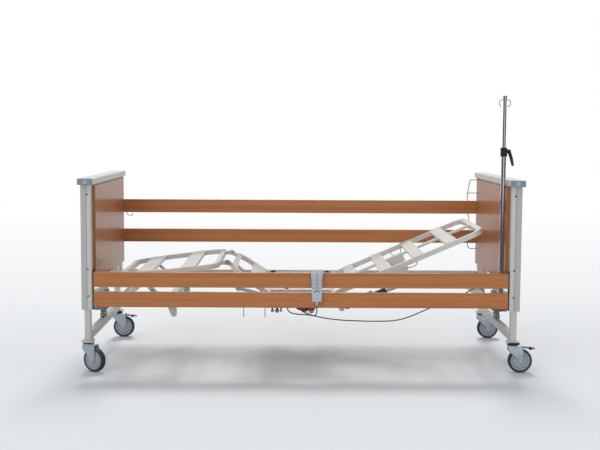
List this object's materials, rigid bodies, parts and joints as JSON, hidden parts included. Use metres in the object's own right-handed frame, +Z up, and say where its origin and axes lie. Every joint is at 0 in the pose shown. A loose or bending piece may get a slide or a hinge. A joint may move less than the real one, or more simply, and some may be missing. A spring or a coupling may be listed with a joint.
{
  "type": "adjustable hospital bed",
  "caption": "Electric adjustable care bed with wooden end panels, sliding wooden side rails, raised back and knee sections, swivel castors and an infusion pole.",
  "frame": {"origin": "on the floor, under the middle of the bed: halfway between the four castor swivel axes", "axes": "+X towards the head end, +Y towards the side whose rails are raised, +Z up"},
  "size_m": [2.36, 1.056, 1.424],
  "materials": {
    "frame_paint": "satin powder coat, light warm grey",
    "section_paint": "satin powder coat, pale cream grey",
    "zinc": "bright bluish zinc plate",
    "drive_grey": "grey paint, steel tube",
    "hub_grey": "light grey moulded nylon",
    "tyre": "dark blue-grey rubber",
    "black_plastic": "black moulded plastic",
    "bush_plastic": "white nylon",
    "cap_plastic": "blue-grey moulded plastic",
    "panel_wood": "varnished cherry veneer board",
    "rail_wood": "varnished cherry veneer board",
    "pole_chrome": "bright chrome tube",
    "handset_shell": "light blue-grey moulded plastic",
    "button_plastic": "soft pale grey keys",
    "cord_rubber": "dark grey sheath"
  },
  "bodies": {
    "foot_base": {"foot_legs": "frame_paint", "foot_beam": "frame_paint", "foot_castor_heads": "zinc", "foot_lift_drive": "drive_grey"},
    "head_base": {"head_legs": "frame_paint", "head_beam": "frame_paint", "head_castor_heads": "zinc", "head_lift_drive": "drive_grey"},
    "bed_frame": {"sleeve_posts": "frame_paint", "sleeve_bushes": "bush_plastic", "end_bars": "frame_paint", "end_bar_caps": "cap_plastic", "end_panels": "panel_wood", "side_tubes": "frame_paint", "cross_tubes": "frame_paint", "drive_carrier": "frame_paint", "seat_frame": "section_paint", "section_pins": "frame_paint", "lift_pistons": "zinc", "control_box": "black_plastic", "pole_sockets": "frame_paint", "wire_hangers": "zinc", "handset_cord": "cord_rubber", "motor_cord": "cord_rubber"},
    "backrest": {"backrest_frame": "section_paint", "back_lever": "section_paint"},
    "thigh": {"thigh_frame": "section_paint", "knee_pins": "cap_plastic"},
    "calf": {"calf_frame": "section_paint"},
    "struts": {"strut_outers": "zinc", "strut_inners": "zinc"},
    "back_drive": {"back_drive": "black_plastic"},
    "back_piston": {"back_piston": "zinc"},
    "thigh_drive": {"thigh_drive": "black_plastic"},
    "thigh_piston": {"thigh_piston": "zinc"},
    "near_rail_top": {"near_rail_top": "rail_wood", "handset": "handset_shell"},
    "near_rail_low": {"near_rail_low": "rail_wood"},
    "far_rail_top": {"far_rail_top": "rail_wood"},
    "far_rail_low": {"far_rail_low": "rail_wood"},
    "pole_lower": {"pole_lower": "pole_chrome", "pole_clamp": "black_plastic"},
    "pole_upper": {"pole_upper": "pole_chrome"},
    "pole_lever": {"pole_lever": "black_plastic"},
    "up_buttons": {"up_buttons": "button_plastic"},
    "down_buttons": {"down_buttons": "button_plastic"},
    "fork_near_foot": {"fork_near_foot": "zinc"},
    "wheel_near_foot": {"hub_near_foot": "hub_grey", "tyre_near_foot": "tyre"},
    "fork_far_foot": {"fork_far_foot": "zinc"},
    "wheel_far_foot": {"hub_far_foot": "hub_grey", "tyre_far_foot": "tyre"},
    "pedal_far_foot": {"pedal_far_foot": "black_plastic"},
    "fork_near_head": {"fork_near_head": "zinc"},
    "wheel_near_head": {"hub_near_head": "hub_grey", "tyre_near_head": "tyre"},
    "pedal_near_head": {"pedal_near_head": "black_plastic"},
    "fork_far_head": {"fork_far_head": "zinc"},
    "wheel_far_head": {"hub_far_head": "hub_grey", "tyre_far_head": "tyre"}
  },
  "joints": [
    {"name": "lift", "type": "slide", "parent": "foot_base", "child": "bed_frame", "axis": [0, 0, 1], "range_m": [0, 0.4]},
    {"name": "head_lift", "type": "slide", "parent": "bed_frame", "child": "head_base", "axis": [0, 0, -1], "range_m": [0, 0.4]},
    {"name": "swivel_near_foot", "type": "hinge", "parent": "foot_base", "child": "fork_near_foot", "pos_m": [-1.095, -0.455, 0.14], "axis": [0, 0, 1], "continuous": true},
    {"name": "roll_near_foot", "type": "hinge", "parent": "fork_near_foot", "child": "wheel_near_foot", "pos_m": [-1.06056, -0.47331, 0.0625], "axis": [0.4695, 0.8829, 0], "continuous": true},
    {"name": "swivel_far_foot", "type": "hinge", "parent": "foot_base", "child": "fork_far_foot", "pos_m": [-1.095, 0.455, 0.14], "axis": [0, 0, 1], "continuous": true},
    {"name": "roll_far_foot", "type": "hinge", "parent": "fork_far_foot", "child": "wheel_far_foot", "pos_m": [-1.056, 0.455, 0.0625], "axis": [0, 1, 0], "continuous": true},
    {"name": "brake_far_foot", "type": "hinge", "parent": "fork_far_foot", "child": "pedal_far_foot", "pos_m": [-1.06, 0.455, 0.1302], "axis": [0, 1, 0], "range_deg": [0, 9]},
    {"name": "swivel_near_head", "type": "hinge", "parent": "head_base", "child": "fork_near_head", "pos_m": [1.095, -0.455, 0.14], "axis": [0, 0, 1], "continuous": true},
    {"name": "roll_near_head", "type": "hinge", "parent": "fork_near_head", "child": "wheel_near_head", "pos_m": [1.134, -0.455, 0.0625], "axis": [0, 1, 0], "continuous": true},
    {"name": "brake_near_head", "type": "hinge", "parent": "fork_near_head", "child": "pedal_near_head", "pos_m": [1.13, -0.455, 0.1302], "axis": [0, 1, 0], "range_deg": [0, 9]},
    {"name": "swivel_far_head", "type": "hinge", "parent": "head_base", "child": "fork_far_head", "pos_m": [1.095, 0.455, 0.14], "axis": [0, 0, 1], "continuous": true},
    {"name": "roll_far_head", "type": "hinge", "parent": "fork_far_head", "child": "wheel_far_head", "pos_m": [1.134, 0.455, 0.0625], "axis": [0, 1, 0], "continuous": true},
    {"name": "backrest_hinge", "type": "hinge", "parent": "bed_frame", "child": "backrest", "pos_m": [0.19, 0, 0.396], "axis": [0, -1, 0], "range_deg": [-23.3, 46.7]},
    {"name": "thigh_hinge", "type": "hinge", "parent": "bed_frame", "child": "thigh", "pos_m": [-0.182, 0, 0.396], "axis": [0, 1, 0], "range_deg": [-34.3, 4.5]},
    {"name": "knee_hinge", "type": "hinge", "parent": "thigh", "child": "calf", "pos_m": [-0.39207, 0, 0.53984], "axis": [0, 1, 0], "range_deg": [-5.4, 40.9]},
    {"name": "strut_hinge", "type": "hinge", "parent": "bed_frame", "child": "struts", "pos_m": [-0.666, 0, 0.298], "axis": [0, 1, 0], "range_deg": [-25.85, 3.4]},
    {"name": "back_drive_hinge", "type": "hinge", "parent": "bed_frame", "child": "back_drive", "pos_m": [0.23, 0, 0.262], "axis": [0, -1, 0], "range_deg": [-21.6, 43.1]},
    {"name": "back_piston_slide", "type": "slide", "parent": "back_drive", "child": "back_piston", "axis": [0.937, 0, 0.3494], "range_m": [-0.0529, 0.1057]},
    {"name": "thigh_drive_hinge", "type": "hinge", "parent": "bed_frame", "child": "thigh_drive", "pos_m": [0.06, 0, 0.248], "axis": [0, 1, 0], "range_deg": [-11.52, 1.52]},
    {"name": "thigh_piston_slide", "type": "slide", "parent": "thigh_drive", "child": "thigh_piston", "axis": [-0.9588, 0, 0.284], "range_m": [-0.0578, 0.0076]},
    {"name": "near_rail_lift", "type": "slide", "parent": "bed_frame", "child": "near_rail_top", "axis": [0, 0, 1], "range_m": [0, 0.3115]},
    {"name": "near_low_rail_lift", "type": "slide", "parent": "bed_frame", "child": "near_rail_low", "axis": [0, 0, 1], "range_m": [0, 0.239]},
    {"name": "far_rail_lift", "type": "slide", "parent": "bed_frame", "child": "far_rail_top", "axis": [0, 0, 1], "range_m": [-0.3115, 0]},
    {"name": "far_low_rail_lift", "type": "slide", "parent": "bed_frame", "child": "far_rail_low", "axis": [0, 0, 1], "range_m": [-0.239, 0]},
    {"name": "pole_turn", "type": "hinge", "parent": "bed_frame", "child": "pole_lower", "pos_m": [1.036, -0.412, 0.38], "axis": [0, 0, 1], "continuous": true},
    {"name": "pole_slide", "type": "slide", "parent": "pole_lower", "child": "pole_upper", "axis": [0, 0, 1], "range_m": [-0.2, 0.25]},
    {"name": "clamp_lever", "type": "hinge", "parent": "pole_lower", "child": "pole_lever", "pos_m": [1.062, -0.412, 1.141], "axis": [0, 1, 0], "range_deg": [-75, 0]},
    {"name": "up_button_press", "type": "slide", "parent": "near_rail_top", "child": "up_buttons", "axis": [0, 1, 0], "range_m": [0, 0.0012], "stiffness_N_per_m": 300, "springref_m": -0.001},
    {"name": "down_button_press", "type": "slide", "parent": "near_rail_top", "child": "down_buttons", "axis": [0, 1, 0], "range_m": [0, 0.0012], "stiffness_N_per_m": 300, "springref_m": -0.001}
  ],
  "couplings": [
    {"joint": "head_lift", "follows": "lift", "ratio": 1},
    {"joint": "knee_hinge", "follows": "thigh_hinge", "ratio": -1.1919},
    {"joint": "strut_hinge", "follows": "thigh_hinge", "ratio": 0.7528},
    {"joint": "back_drive_hinge", "follows": "backrest_hinge", "ratio": 0.9199},
    {"joint": "back_piston_slide", "follows": "backrest_hinge", "m_per_rad": 0.12921},
    {"joint": "thigh_drive_hinge", "follows": "thigh_hinge", "ratio": 0.3354},
    {"joint": "thigh_piston_slide", "follows": "thigh_hinge", "m_per_rad": 0.09635},
    {"joint": "near_low_rail_lift", "follows": "near_rail_lift", "ratio": 0.764},
    {"joint": "far_low_rail_lift", "follows": "far_rail_lift", "ratio": 0.764}
  ]
}
